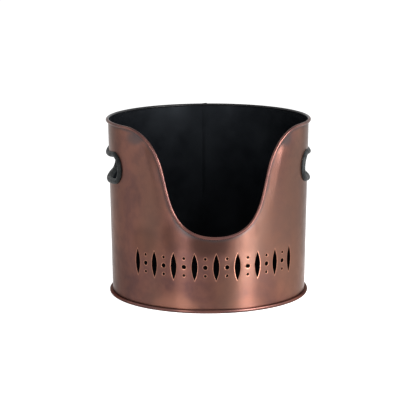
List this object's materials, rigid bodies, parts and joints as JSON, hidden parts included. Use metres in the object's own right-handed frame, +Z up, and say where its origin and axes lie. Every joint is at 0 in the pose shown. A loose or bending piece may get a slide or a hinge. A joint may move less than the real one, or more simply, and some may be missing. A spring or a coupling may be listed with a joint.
{
  "type": "kindling bucket",
  "caption": "Round tapered sheet metal bucket with a deep U mouth, wired rim, seamed base, pierced band and ringed hand holes.",
  "frame": {"origin": "on the ground, at the middle of the foot", "axes": "+Z up along the bucket's axis, -Y towards the U mouth, +X to the right seen from the mouth"},
  "size_m": [0.307, 0.3045, 0.2653],
  "materials": {
    "copper_wall": "antique copper plate with a dark patina outside, satin black paint inside",
    "copper_base": "antique copper plate with a dark patina below, satin black paint above",
    "wire_steel": "drawn steel wire, sealed in the rolled rim",
    "black_grip": "black moulded grip with a satin surface"
  },
  "bodies": {
    "root": {"body_wall": "copper_wall", "rim_wire": "wire_steel", "base_plate": "copper_base", "hand_grip_left": "black_grip", "hand_grip_right": "black_grip"}
  },
  "joints": []
}
